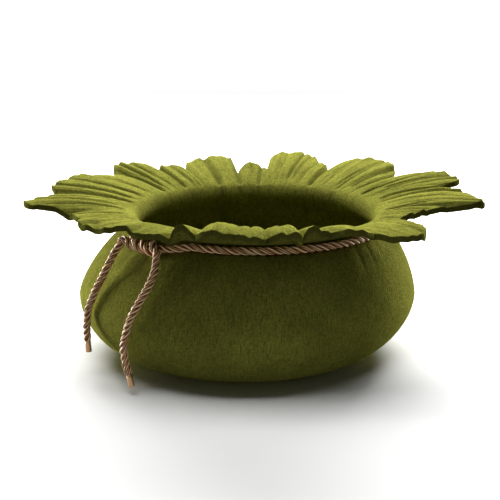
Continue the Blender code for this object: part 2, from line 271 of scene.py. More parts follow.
class Shading:
    """Puts nodes into one tree and joins them."""

    def __init__(self, tree: NodeTree) -> None:
        """Keeps the tree that the nodes go into."""
        self.tree = tree

    def node(self, kind: str, **settings: object) -> Node:
        """A new node of a kind, with its settings."""
        made = self.tree.nodes.new(kind)
        for label, value in settings.items():
            setattr(made, label, value)
        return made

    def put(self, socket: Socket, value: object) -> None:
        """Feeds a socket from another socket, or sets its value."""
        if isinstance(value, bpy.types.NodeSocket):
            self.tree.links.new(value, socket)
        else:
            socket.default_value = value

    def feed(self, node: Node, values: dict[str, object]) -> Node:
        """Feeds several inputs of a node, by their names, and gives the node back."""
        for label, value in values.items():
            self.put(node.inputs[label], value)
        return node

    def maths(
        self, operation: str, first: object, second: object = 0.0, kind: str = "ShaderNodeMath"
    ) -> Socket:
        """One sum of two numbers, by the name of its operation."""
        made = self.node(kind, operation=operation)
        self.put(made.inputs[0], first)
        self.put(made.inputs[1], second)
        return made.outputs[0]

    def vector(self, operation: str, first: object, second: object = (0.0, 0.0, 0.0)) -> Socket:
        """One sum of two vectors, by the name of its operation."""
        return self.maths(operation, first, second, "ShaderNodeVectorMath")

    def ranged(
        self, value: Socket, low: float, high: float, to_low: float, to_high: float
    ) -> Socket:
        """A number carried from one range to another, and held there."""
        labels = ("Value", "From Min", "From Max", "To Min", "To Max")
        values = dict(zip(labels, (value, low, high, to_low, to_high)))
        return self.feed(self.node("ShaderNodeMapRange"), values).outputs[0]

    def noise(self, vector: Socket, scale: object, detail: float, rough: float = 0.5) -> Socket:
        """A cloud pattern from 0 to 1 at a place."""
        values = {"Vector": vector, "Scale": scale, "Detail": detail, "Roughness": rough}
        return self.feed(self.node("ShaderNodeTexNoise"), values).outputs[0]

    def grain(self, speckle: NodeTree, scale: float, fine: float) -> Socket:
        """The shared speckle at the object's own places."""
        values = {"Place": self.place(), "Scale": scale, "Fine": fine}
        made = self.node("ShaderNodeGroup", node_tree=speckle)
        return self.feed(made, values).outputs["Speckle"]

    def mixed(self, share: object, first: object, second: object) -> Socket:
        """Two colours mixed by a share from 0 to 1."""
        made = self.node("ShaderNodeMix", data_type="RGBA")
        self.put(made.inputs["Factor"], share)
        self.put(made.inputs[6], first)
        self.put(made.inputs[7], second)
        return made.outputs[2]

    def laid_over(self, colour: object, share: Socket, most: float, top: Colour) -> Socket:
        """A colour with another laid over it by a share, up to the most of it."""
        return self.mixed(self.maths("MULTIPLY", share, most), colour, (*top, 1))

    def layered(self, base: Colour, *layers: tuple[Socket, Layer, Colour]) -> Socket:
        """A colour with others laid over it in turn, each where its own pattern says.

        Args:
            base: The colour below.
            layers: Each layer's pattern, its three numbers (where in the pattern it starts, where
                it is full, and its share there), and its colour.

        Returns:
            The colour that comes out on top.
        """
        colour = (*base, 1)
        for pattern, (start, full, share), top in layers:
            colour = self.mixed(self.ranged(pattern, start, full, 0.0, share), colour, (*top, 1))
        return colour

    def raised(self, height: Socket, strength: float, distance: float) -> Socket:
        """A surface's direction, as raised by a height."""
        values = {"Strength": strength, "Distance": distance, "Height": height}
        return self.feed(self.node("ShaderNodeBump"), values).outputs[0]

    def attribute(self, name: str) -> Socket:
        """A number that the piece's mesh carries."""
        return self.node("ShaderNodeAttribute", attribute_name=name).outputs["Fac"]

    def place(self) -> Socket:
        """The place in the object's own coordinates."""
        return self.node("ShaderNodeTexCoord").outputs["Object"]


def new_group(
    name: str, inputs: dict[str, Optional[float]], output: str
) -> tuple[NodeTree, Node, Node]:
    """An empty node group with named sockets.

    Args:
        name: The group's name.
        inputs: Each input's name and its value when nothing feeds it, or None for a vector.
        output: The name of its one output, a number.

    Returns:
        The group's tree, and its input and output nodes.
    """
    tree = bpy.data.node_groups.new(name, "ShaderNodeTree")
    for label, value in inputs.items():
        kind = "NodeSocketVector" if value is None else "NodeSocketFloat"
        made = tree.interface.new_socket(label, in_out="INPUT", socket_type=kind)
        if value is not None:
            made.default_value = value
    tree.interface.new_socket(output, in_out="OUTPUT", socket_type="NodeSocketFloat")
    return tree, tree.nodes.new("NodeGroupInput"), tree.nodes.new("NodeGroupOutput")


def speckle_group() -> NodeTree:
    """A fine speckle that all three finishes use: two sizes of cloud pattern, weighed together.

    Returns:
        The group, with a place, a scale and the share of the finer pattern, and one number out.
    """
    tree, given, out = new_group("speckle", {"Place": None, "Scale": 500.0, "Fine": 0.4}, "Speckle")
    make = Shading(tree)
    coarse, fine = (
        make.noise(
            given.outputs["Place"], make.maths("MULTIPLY", given.outputs["Scale"], times), 2.0
        )
        for times in (1.0, 3.1)
    )
    mix = make.node("ShaderNodeMix", data_type="FLOAT")
    make.feed(mix, {"Factor": given.outputs["Fine"], "A": coarse, "B": fine})
    make.put(out.inputs["Speckle"], mix.outputs[0])
    return tree


def new_material(name: str) -> tuple[Material, Shading, Node]:
    """A new material.

    Args:
        name: The material's name.

    Returns:
        The material, what puts nodes into it, and its shader.
    """
    material = bpy.data.materials.new(name)
    material.use_nodes = True
    shader = material.node_tree.nodes["Principled BSDF"]
    return material, Shading(material.node_tree), shader


# ------------------------------------------------------------------ finishes


@dataclass(frozen=True)
class FeltFinish:
    """Thick felted wool: matt, short-haired, streaked along its fibres, with painted shade in its
    creases and on its cut edge.
    """

    base: Colour = (0.150, 0.152, 0.024)
    light: Colour = (0.290, 0.288, 0.050)
    dark: Colour = (0.046, 0.050, 0.011)
    # edge: the cut edge's colour, darker than the base: partly the felt's own tone at the cut,
    # mostly painted shade where the edge faces away from the lamps.
    edge: Colour = (0.078, 0.081, 0.015)
    streak_light: Layer = (0.42, 0.62, 0.42)
    streak_dark: Layer = (0.46, 0.34, 0.50)
    grain_light: Layer = (0.50, 0.62, 0.60)
    grain_dark: Layer = (0.48, 0.36, 0.55)
    patch_dark: Layer = (0.40, 0.62, 0.22)
    cut_edge_shade_share: float = 0.75
    # Painted shade in the pleats' valleys and the creases, laid on with the dark colour.
    crease_shade_share: float = 0.55
    streaks_round: float = 250.0
    streaks_along: float = 90.0
    patches: float = 22.0
    specks: float = 430.0
    fine_specks: float = 0.45
    middle: tuple[float, float, float] = (0.008, 0.0, 0.0)
    sheen: float = 0.03
    sheen_roughness: float = 0.45
    sheen_tint: Colour = (0.70, 0.74, 0.16)
    bump: float = 0.9
    hair: float = 0.0016
    streak_height: float = 0.9
    grain_height: float = 0.8

    def streaks(self, make: Shading) -> Socket:
        """The fibres' streaks: clouds stretched along the felt's run, even all the way round.

        Args:
            make: What puts nodes into the material.

        Returns:
            The streaks, from 0 to 1.
        """
        centred = make.vector("SUBTRACT", make.place(), self.middle)
        flat = make.vector("MULTIPLY", centred, (1.0, 1.0, 0.0))
        apart = make.node("ShaderNodeSeparateXYZ")
        make.put(apart.inputs[0], make.vector("NORMALIZE", flat))
        fibre_place = make.node("ShaderNodeCombineXYZ")
        for axis in (0, 1):
            across = make.maths("MULTIPLY", apart.outputs[axis], self.streaks_round)
            make.put(fibre_place.inputs[axis], across)
        along = make.maths("MULTIPLY", make.attribute("run"), self.streaks_along)
        make.put(fibre_place.inputs[2], along)
        return make.noise(fibre_place.outputs[0], 1.0, 3.0, 0.6)

    def material(self, speckle: NodeTree) -> Material:
        """Builds the felt's material.

        Args:
            speckle: The shared speckle group.

        Returns:
            The material.
        """
        material, make, shader = new_material("felt_green_wool")
        streak = self.streaks(make)
        patch = make.noise(make.place(), self.patches, 3.0)
        grain = make.grain(speckle, self.specks, self.fine_specks)
        colour = make.layered(
            self.base,
            (streak, self.streak_light, self.light),
            (streak, self.streak_dark, self.dark),
            (grain, self.grain_light, self.light),
            (grain, self.grain_dark, self.dark),
            (patch, self.patch_dark, self.dark),
        )
        # Painted shade on the cut edge: the rows round the cut are darkened towards the edge
        # colour.
        colour = make.laid_over(colour, make.attribute("cut"), self.cut_edge_shade_share, self.edge)
        # Painted shade: darker in the pleats' valleys and in the creases.
        colour = make.laid_over(colour, make.attribute("crease"), self.crease_shade_share, self.dark)
        streak_tall = make.maths("MULTIPLY", streak, self.streak_height)
        tall = make.maths("ADD", streak_tall, make.maths("MULTIPLY", grain, self.grain_height))
        values = {
            "Base Color": colour,
            "Roughness": make.ranged(grain, 0.35, 0.65, 0.98, 0.88),
            "Sheen Weight": self.sheen,
            "Sheen Roughness": self.sheen_roughness,
            "Sheen Tint": (*self.sheen_tint, 1),
            "Specular IOR Level": 0.0,
            "Normal": make.raised(tall, self.bump, self.hair),
        }
        make.feed(shader, values)
        return material


@dataclass(frozen=True)
class CordFinish:
    """Silky twisted cord: fine yarns laid along each strand, with painted highlights on the yarns
    and painted shade between the yarns and in the grooves between the strands.
    """

    base: Colour = (0.76, 0.36, 0.115)
    # light: the colour of the painted highlights on the yarns.
    light: Colour = (1.0, 0.80, 0.50)
    # The colour of the painted shade between the strands and between the yarns, also used for the
    # dark flecks.
    groove_shade_and_fleck: Colour = (0.10, 0.022, 0.004)
    yarn_highlight: Layer = (0.50, 0.85, 1.0)
    yarn_shade: Layer = (0.45, 0.05, 0.9)
    grain_dark: Layer = (0.55, 0.35, 0.35)
    groove_shade_share: float = 0.95
    yarns: float = 4.0
    yarn_pitch: float = 24.0
    specks: float = 900.0
    fine_specks: float = 0.3
    specular: float = 0.18
    sheen: float = 0.04
    sheen_tint: Colour = (1.0, 0.74, 0.50)
    bump: float = 0.8
    yarn_depth: float = 0.0004
    grain_height: float = 0.4

    def material(self, speckle: NodeTree) -> Material:
        """Builds the cord's material.

        Args:
            speckle: The shared speckle group.

        Returns:
            The material.
        """
        material, make, shader = new_material("cord_gold_silk")
        slant = make.maths("MULTIPLY", make.attribute("turn"), self.yarns)
        lead = make.maths("MULTIPLY", make.attribute("along"), -self.yarn_pitch)
        turns = make.maths("MULTIPLY", make.maths("ADD", slant, lead), 2 * math.pi)
        wave = make.ranged(make.maths("SINE", turns), -1.0, 1.0, 0.0, 1.0)
        grain = make.grain(speckle, self.specks, self.fine_specks)
        # Painted highlights on the yarns' crests and painted shade between the yarns, following the
        # yarns' wave.
        colour = make.layered(
            self.base,
            (wave, self.yarn_highlight, self.light),
            (wave, self.yarn_shade, self.groove_shade_and_fleck),
            (grain, self.grain_dark, self.groove_shade_and_fleck),
        )
        tall = make.maths("ADD", wave, make.maths("MULTIPLY", grain, self.grain_height))
        # Painted shade: darker towards the cord's middle, in the grooves between the strands.
        deep = make.attribute("deep")
        values = {
            "Base Color": make.laid_over(colour, deep, self.groove_shade_share, self.groove_shade_and_fleck),
            "Roughness": make.ranged(grain, 0.3, 0.7, 0.40, 0.58),
            "Specular IOR Level": self.specular,
            "Sheen Weight": self.sheen,
            "Sheen Tint": (*self.sheen_tint, 1),
            "Normal": make.raised(tall, self.bump, self.yarn_depth),
        }
        make.feed(shader, values)
        return material


@dataclass(frozen=True)
class TipFinish:
    """Satin bronze with fine turning marks and duller patches."""

    base: Colour = (0.36, 0.22, 0.11)
    worn: Colour = (0.22, 0.13, 0.07)
    worn_patches: Layer = (0.45, 0.65, 0.6)
    specks: float = 420.0
    fine_specks: float = 0.5
    marks: float = 9000.0
    metal: float = 0.85
    bump: float = 0.25
    mark_depth: float = 0.0002

    def material(self, speckle: NodeTree) -> Material:
        """Builds the tips' material.

        Args:
            speckle: The shared speckle group.

        Returns:
            The material.
        """
        material, make, shader = new_material("tip_bronze_satin")
        grain = make.grain(speckle, self.specks, self.fine_specks)
        marks = make.maths("SINE", make.maths("MULTIPLY", make.attribute("along"), self.marks))
        values = {
            "Base Color": make.layered(self.base, (grain, self.worn_patches, self.worn)),
            "Metallic": self.metal,
            "Roughness": make.ranged(grain, 0.3, 0.7, 0.30, 0.46),
            "Normal": make.raised(make.maths("ADD", marks, grain), self.bump, self.mark_depth),
        }
        make.feed(shader, values)
        return material


# ------------------------------------------------------------------ felt shell

PLEAT_COLUMNS = 12

# The collar's petals, anticlockwise from the slit at the right. tip and end are azimuths, and a
# petal starts where the one before it ends. reach is the radius of its tip and notch that of the
# notch at its end. rise is the slope where it leaves the neck and tail the slope at its tip. full
# is how square its start and its end are, and lift raises the felt at its end notch. pleated is how
# strong its pleats are. over raises the felt beside its start and its end, outside the notches,
# where one petal lies over the next.
PETAL_START = 329.0
PETALS = table(
    "tip end reach notch rise tail full pleats lift pleated over",
    (336, 342, 0.184, 0.191, 13, 6, (1.0, 1.0), 2, 0.0, 0.9, (0.0, 0.0)),
    (349, 353.5, 0.206, 0.226, 14, 1, (1.2, 1.0), 3, -0.003, 0.9, (0.0, 0.0)),
    (361, 375.5, 0.2705, 0.234, 16, -9, (3.2, 1.7), 4, 0.001, 0.8, (0.0, -0.003)),
    (382, 397, 0.275, 0.214, 17, -1, (2.2, 3.6), 5, -0.002, 0.9, (0.004, 0.0)),
    (410.5, 422.5, 0.273, 0.214, 18, 2, (1.3, 2.2), 4, -0.001, 0.9, (0.0, 0.0)),
    (437, 445.5, 0.268, 0.202, 19, 2.5, (1.2, 2.4), 4, -0.001, 0.9, (0.0, 0.0)),
    (452, 457, 0.207, 0.192, 22, 12, (1.0, 1.6), 2, -0.002, 0.9, (0.0, 0.0)),
    (463, 476.5, 0.247, 0.201, 18, 6, (7.0, 2.0), 2, 0.001, 0.5, (0.0, 0.0)),
    (482, 487, 0.223, 0.215, 19, 7, (1.6, 2.0), 2, 0.001, 0.9, (0.0, 0.0)),
    (494, 500.5, 0.254, 0.226, 18, 5, (2.6, 2.4), 3, -0.003, 0.9, (0.0, 0.003)),
    (519, 531.5, 0.262, 0.236, 16, 1, (1.5, 2.2), 4, -0.001, 0.9, (-0.002, 0.0)),
    (543.5, 548.5, 0.272, 0.238, 15, -6, (1.5, 2.4), 2, 0.003, 0.9, (0.0, 0.002)),
    (552, 566, 0.22, 0.206, 8, -3, (1.0, 1.4), 3, -0.001, 0.9, (-0.004, 0.0)),
    (579, 592, 0.24, 0.223, 21, -4, (1.5, 1.6), 4, 0.004, 0.7, (0.003, 0.0)),
    (597, 604.8, 0.227, 0.21, 29, -10, (1.6, 2.2), 2, -0.01, 0.5, (0.0, 0.0)),
    (608.8, 612.8, 0.215, 0.206, 26, 13, (4.0, 4.0), 2, -0.006, 0.3, (0.0, 0.0)),
    (618.2, 624.0, 0.233, 0.222, 42, -15, (2.4, 1.6), 2, -0.001, 0.4, (0.0, -0.001)),
    (629.4, 632.6, 0.234, 0.219, 38, -15, (1.4, 2.4), 2, -0.002, 0.4, (0.001, 0.0)),
    (639, 642.0, 0.236, 0.206, 37, -10, (1.5, 4.0), 2, -0.011, 0.45, (0.0, 0.0)),
    (645.0, 650.8, 0.219, 0.214, 27, 15, (4.0, 1.5), 2, -0.003, 0.3, (-0.002, 0.0)),
    (654.5, 662, 0.246, 0.226, 29, -3, (2.4, 2.0), 2, -0.001, 0.5, (0.001, 0.0)),
    (671, 689, 0.257, 0.176, 20, -9, (2.0, 1.5), 4, 0.0, 0.8, (0.0, 0.0)),
)

# The collar's main creases. A crease runs from its root azimuth at the neck to its edge azimuth at
# the petal's edge, between two shares of the way out. deep is its depth and wide its half width in
# degrees.
CREASES = table(
    "edge root from to deep wide",
    (359.5, 354.0, 0.10, 1.00, 0.0043, 1.6),
    (373.5, 376.5, 0.15, 1.00, 0.0038, 1.8),
    (385.0, 386.5, 0.30, 1.00, 0.0028, 1.3),
    (389.4, 390.5, 0.05, 1.00, 0.0038, 1.6),
    (402.6, 402.0, 0.20, 0.95, 0.0054, 1.8),
    (409.0, 407.5, 0.00, 1.00, 0.0038, 1.4),
    (424.0, 423.0, 0.10, 1.00, 0.0043, 1.6),
    (432.0, 433.0, 0.20, 1.00, 0.0030, 1.0),
    (434.8, 435.6, 0.20, 1.00, 0.0030, 1.0),
    (441.0, 441.5, 0.30, 1.00, 0.0019, 1.0),
    (447.5, 448.5, 0.05, 1.00, 0.0048, 1.6),
    (458.4, 458.0, 0.00, 1.00, 0.0054, 2.1),
    (467.0, 467.6, 0.00, 1.00, 0.0054, 2.4),
    (486.0, 486.0, 0.10, 1.00, 0.0038, 1.6),
    (496.0, 496.5, 0.20, 1.00, 0.0030, 1.3),
    (499.6, 499.2, 0.05, 1.00, 0.0041, 1.4),
    (516.8, 515.5, 0.10, 1.00, 0.0041, 1.6),
    (524.4, 522.5, 0.10, 1.00, 0.0032, 1.4),
    (530.4, 529.5, 0.05, 1.00, 0.0043, 1.6),
    (535.0, 533.5, 0.20, 1.00, 0.0028, 1.3),
    (540.0, 539.0, 0.15, 1.00, 0.0035, 1.4),
    (547.0, 545.5, 0.10, 1.00, 0.0035, 1.4),
    (583.0, 563.0, 0.10, 1.00, 0.0041, 2.1),
    (574.0, 566.0, 0.30, 1.00, 0.0024, 1.4),
    (684.5, 690.0, 0.10, 1.00, 0.0032, 1.9),
    (676.0, 682.0, 0.20, 1.00, 0.0024, 1.4),
)

# Unevenness of the collar's edge: waves round it, azimuth of a crest, height, and how far out.
EDGE_WAVES = table(
    "waves crest height out",
    (23, 12, 0.0010, 0.0008),
    (41, 3, 0.0009, -0.0007),
    (67, 1, 0.0007, 0.0003),
    (109, 2, 0.0005, 0.0002),
)

# Slight unevenness of the belly: waves round it, azimuth of the first crest, depth.
BELLY_WAVES = table(
    "waves crest depth",
    (2, 165, 0.0012),
    (3, 20, 0.0010),
    (5, 10, 0.0006),
)


@dataclass
class CollarColumns:
    """The collar's settings at each column of points, all the way round."""

    azimuth: Grid
    reach: Grid
    notch: Grid
    ridge: Grid
    gather: Grid
    lift: Grid
    over: Grid
    rise: Grid
    tail: Grid


@dataclass
class FeltShell:
    """The felt: one thick sheet with a flat base, a round belly, a neck and a pleated collar."""

    wall: float = 0.0065
    base_radius: float = 0.117
    belly_radius: float = 0.2005
    belly_level: float = 0.073
    belly_power: float = 1.08
    shoulder_radius: float = 0.148
    shoulder_level: float = 0.1542
    shoulder_power: float = 1.44
    foot_shift: float = -0.002
    neck_radius: float = 0.1455
    neck_level: float = 0.157
    neck_shift: float = 0.0114
    shift_level: float = 0.150
    shift_power: float = 1.3
    groove_radius: float = 0.010
    groove_start: float = -42.0
    gather_depth: float = 0.0005
    gather_fall: float = 0.026
    ridge_low: float = -0.0015
    ridge_high: float = 0.0014
    ridge_power: float = 4.0
    underside_share: float = 0.6
    scallop: float = 0.22
    pleat_root: float = 0.30
    tip_loss: float = 0.60
    edge_round: float = 0.0005
    # The crease depth at which the painted crease shade is full.
    fully_shaded_depth: float = 0.0040
    over_before: float = 0.004
    over_fade: float = 0.018
    rolls: tuple[float, ...] = (0.25, 0.5, 0.75, 1.0)
    rim_turns: tuple[float, ...] = (-64, -45, -20, 0, 20, 45, 64)
    floor_parts: tuple[float, ...] = (0.04, 0.35, 0.7, 0.94)
    uneven_width: float = 0.34
    uneven_lean: float = 0.16
    uneven_height: tuple[float, float] = (0.5, 1.0)
    uneven_depth: tuple[float, float] = (0.55, 0.9)
    wrinkles: int = 170
    wrinkle_turn: float = 7.0
    wrinkle_start: float = 0.6
    wrinkle_length: tuple[float, float] = (0.25, 0.8)
    wrinkle_depth: tuple[float, float] = (0.0005, 0.0012)
    wrinkle_width: tuple[float, float] = (0.75, 0.6)
    inner_face: float = 0.37
    belly_steps: int = 16
    shoulder_steps: int = 13
    petal_steps: int = 20

    def shift(self, level: Grid) -> Grid:
        """How far right of the base's middle the shell's middle lies at a level.

        Above the belly it is neck_shift times the share of the way up, to a power; below, it is
        foot_shift times the share of the way down.

        Args:
            level: The level, in metres.

        Returns:
            The shift, in metres.
        """
        up = np.clip((level - self.belly_level) / (self.shift_level - self.belly_level), 0, 1)
        down = np.clip(1 - level / self.belly_level, 0, 1)
        return self.neck_shift * up**self.shift_power + self.foot_shift * down

    def belly_outline(self, turn: Grid) -> Grid:
        """Radius and level from the base's edge (0) to the belly (90), a rounded quarter.

        Args:
            turn: The turn along it, in degrees.

        Returns:
            The radius and the level at each turn.
        """
        rad = np.radians(turn)
        span = self.belly_radius - self.base_radius
        radius = self.base_radius + span * np.abs(np.sin(rad)) ** self.belly_power
        level = self.belly_level * (1 - np.abs(np.cos(rad)) ** self.belly_power)
        return np.stack([radius, level])

    def shoulder_outline(self, turn: Grid) -> Grid:
        """Radius and level from the belly (0) to the foot of the neck (90), a hollowed quarter.

        Args:
            turn: The turn along it, in degrees.

        Returns:
            The radius and the level at each turn.
        """
        rad = np.radians(turn)
        span = self.belly_radius - self.shoulder_radius
        radius = self.shoulder_radius + span * np.abs(np.cos(rad)) ** self.shoulder_power
        rise = self.shoulder_level - self.belly_level
        level = self.belly_level + rise * np.abs(np.sin(rad)) ** self.shoulder_power
        return np.stack([radius, level])

    def groove_outline(self, turn: Grid) -> Grid:
        """Radius and level round the groove that the cord lies in, narrowest at 0.

        Args:
            turn: The turn round it, in degrees.

        Returns:
            The radius and the level at each turn.
        """
        rad = np.radians(turn)
        centre = self.neck_radius + self.groove_radius
        radius = centre - self.groove_radius * np.cos(rad)
        return np.stack([radius, self.neck_level + self.groove_radius * np.sin(rad)])

    def body_profile(self, depth: float) -> tuple[Grid, Grid]:
        """The body's profile from the base's edge to the groove's narrowest ring.

        Args:
            depth: How far in from the outer face it lies, square to that.

        Returns:
            Radius and level at each row, and how strong the gathers are there.
        """
        parts = (
            (self.belly_outline, np.linspace(0, 90, self.belly_steps)[:-1], 90.0),
            (self.shoulder_outline, np.linspace(0, 82, self.shoulder_steps), 90.0),
            (self.groove_outline, np.array([self.groove_start, -20.0, 0.0]), 90.0),
        )
        rows = []
        for outline, turns, last in parts:
            before = outline(np.where(turns > 0, turns - 0.5, turns))
            after = outline(np.minimum(turns + 0.5, last))
            along = after - before
            outward = np.stack([along[1], -along[0]]) / np.hypot(*along)
            rows.append(outline(turns) - outward * depth)
        profile = np.concatenate(rows, axis=1)
        gather = np.exp(-(((self.neck_level - profile[1]) / self.gather_fall) ** 2))
        held = self.belly_steps - 1 + self.shoulder_steps
        gather[: self.belly_steps - 1] = 0.0
        gather[held:] = 0.0
        gather[held - 2 : held] *= (0.8, 0.45)
        return profile, gather

    def columns(self) -> CollarColumns:
        """The collar's settings at each column of points.

        A petal's edge is foot + (reach - foot) * (1 - (1 - s)^full)^(1/full), where s runs from 0
        at a notch to 1 at the tip. A pleat's ridge is low + (high - low) * (1 - |2f - 1|^power),
        where f runs from 0 to 1 across the pleat. The pleats of a petal differ in width and depth.

        Returns:
            The settings.
        """
        parts: dict[str, list[Grid]] = {name: [] for name in ("azimuth", "reach", "notch", "ridge")}
        parts |= {name: [] for name in ("gather", "lift", "over")}
        start, notch, lift, pleats = PETAL_START, PETALS[-1]["notch"], PETALS[-1]["lift"], 0
        for petal in PETALS:
            count = petal["pleats"] * PLEAT_COLUMNS
            index = np.arange(count)
            folds = np.arange(petal["pleats"] + 1)
            uneven = self.uneven_width * (scatter(pleats + folds, 5.0) - 0.5)
            uneven[[0, -1]] = 0.0
            share = np.interp(index / PLEAT_COLUMNS, folds, folds + uneven) / petal["pleats"]
            azimuth = start + (petal["end"] - start) * share
            first = azimuth < petal["tip"]
            rising = (azimuth - start) / (petal["tip"] - start)
            falling = (petal["end"] - azimuth) / (petal["end"] - petal["tip"])
            part = np.where(first, rising, falling)
            full = np.where(first, *petal["full"])
            foot = np.where(first, notch, petal["notch"])
            flank = (1 - (1 - part) ** full) ** (1 / full)
            pleat = pleats + index // PLEAT_COLUMNS
            across = (index % PLEAT_COLUMNS) / PLEAT_COLUMNS
            lean = self.uneven_lean * (scatter(pleat, 3.0) - 0.5)
            across = across + lean * np.sin(math.pi * across) ** 2
            hump = 1 - np.abs(2 * across - 1) ** self.ridge_power
            high = self.ridge_high * uneven_size(self.uneven_height, pleat, 1.0)
            before = uneven_size(self.uneven_depth, pleat, 4.0)
            after = uneven_size(self.uneven_depth, pleat + 1, 4.0)
            low = self.ridge_low * (before + (after - before) * across)
            ridge = (low + (high - low) * hump) * self.carried(azimuth, "pleated")
            parts["azimuth"].append(azimuth)
            parts["reach"].append(foot + (petal["reach"] - foot) * flank + self.scallop * ridge)
            parts["notch"].append(foot)
            parts["ridge"].append(ridge)
            parts["gather"].append((2 * hump - 1) * uneven_size(self.uneven_depth, pleat, 2.0))
            parts["lift"].append(np.where(first, lift, petal["lift"]) * (1 - part) ** 2)
            parts["over"].append(np.where(first, *petal["over"]) * (1 - part) ** 1.5)
            start, notch, lift = petal["end"], petal["notch"], petal["lift"]
            pleats += petal["pleats"]
        made = {name: np.concatenate(values) for name, values in parts.items()}
        azimuth = made["azimuth"]
        rise = np.radians(self.carried(azimuth, "rise"))
        return CollarColumns(**made, rise=rise, tail=np.radians(self.carried(azimuth, "tail")))

    def creases(self, azimuths: Grid, out: Grid) -> Grid:
        """How deep the creases and the fine wrinkles are at each share of the way out, in metres.

        A crease is deep (1 - |a|)^1.5, where a is the angle from its line over its half width, and
        it fades in and out over a tenth of the way out. The wrinkles lie at uneven angles between
        the creases and are shallower.

        Args:
            azimuths: The azimuth of each column.
            out: The shares of the way out, one row each.

        Returns:
            The depth at each row and column.
        """
        number = np.arange(self.wrinkles)
        root = PETAL_START + 360 * (number + 0.9 * scatter(number, 1.0)) / self.wrinkles
        start = self.wrinkle_start * scatter(number, 3.0)
        shallow, deeper = self.wrinkle_depth
        fine = {
            "root": root,
            "edge": root + self.wrinkle_turn * (scatter(number, 2.0) - 0.5),
            "from": start,
            "to": start + uneven_size(self.wrinkle_length, number, 4.0),
            "deep": shallow + deeper * scatter(number, 5.0) ** 2,
            "wide": uneven_size(self.wrinkle_width, number, 6.0),
        }
        every = {key: [crease[key] for crease in CREASES] + list(fine[key]) for key in fine}
        line = {key: np.array(values)[:, None, None] for key, values in every.items()}
        middle = line["root"] + (line["edge"] - line["root"]) * out[None]
        apart = np.abs((azimuths[None] - middle + 180) % 360 - 180) / line["wide"]
        shown = smooth((out - line["from"]) / 0.1 + 1) * smooth((line["to"] - out) / 0.1 + 1)
        return (line["deep"] * (1 - np.minimum(apart, 1)) ** 1.5 * shown).max(axis=0)

    @staticmethod
    def carried(azimuths: Grid, column: str) -> Grid:
        """A petal's setting carried round the collar from tip to tip, level at each tip.

        Args:
            azimuths: Where it is wanted.
            column: The setting's name among the petals' columns.

        Returns:
            The setting at each azimuth.
        """
        tips = np.array([petal["tip"] for petal in PETALS], float)
        values = np.array([petal[column] for petal in PETALS], float)
        tips = np.concatenate([[tips[-1] - 360], tips, [tips[0] + 360]])
        values = np.concatenate([[values[-1]], values, [values[0]]])
        place = np.interp(azimuths, tips, np.arange(len(tips)))
        lower = np.minimum(place.astype(int), len(tips) - 2)
        return values[lower] + (values[lower + 1] - values[lower]) * smooth(place - lower)

    def round_points(self, azimuths: Grid, radius: Grid, level: Grid) -> Grid:
        """Points about the shell's middle, which lies further right or left by the level.

        Args:
            azimuths: The points' azimuths.
            radius: Their distances from the middle.
            level: Their levels.

        Returns:
            The points.
        """
        rad = np.radians(azimuths)
        radius, level, rad = np.broadcast_arrays(radius, level, rad)
        x = radius * np.cos(rad) + self.shift(level)
        return np.stack([x, radius * np.sin(rad), level], axis=-1)

    def body_rows(self, columns: CollarColumns, depth: float) -> Grid:
        """The body's rows of points on one face, from the base's edge to the groove.

        Args:
            columns: The settings at each column.
            depth: How far in from the outer face it lies.

        Returns:
            The points, row by row.
        """
        profile, gather = self.body_profile(depth)
        radius, level = profile[:, :, None]
        azimuth = columns.azimuth[None]
        swell = np.sin(math.pi * np.clip(level / self.neck_level, 0, 1))
        swell[-3:] = 0.0
        bump = np.zeros((len(radius), azimuth.shape[1]))
        for wave in BELLY_WAVES:
            swing = np.cos(np.radians(wave["waves"] * (azimuth - wave["crest"])))
            bump = bump + wave["depth"] * swing
        gathers = self.gather_depth * gather[:, None] * columns.gather[None]
        return self.round_points(azimuth, radius + bump * swell + gathers, level)

    def floor_rows(self, columns: CollarColumns, depth: float) -> Grid:
        """Rings of the flat base between its middle and its edge, on one face."""
        radius = self.base_radius * np.array(self.floor_parts)[:, None]
        return self.round_points(columns.azimuth[None], radius, np.full_like(radius, depth))

    @property
    def parts(self) -> Grid:
        """The shares of the way out along a petal that have a row, closer at its cut edge."""
        return np.append(np.arange(1, self.petal_steps) / self.petal_steps * 0.98, (0.985, 1.0))

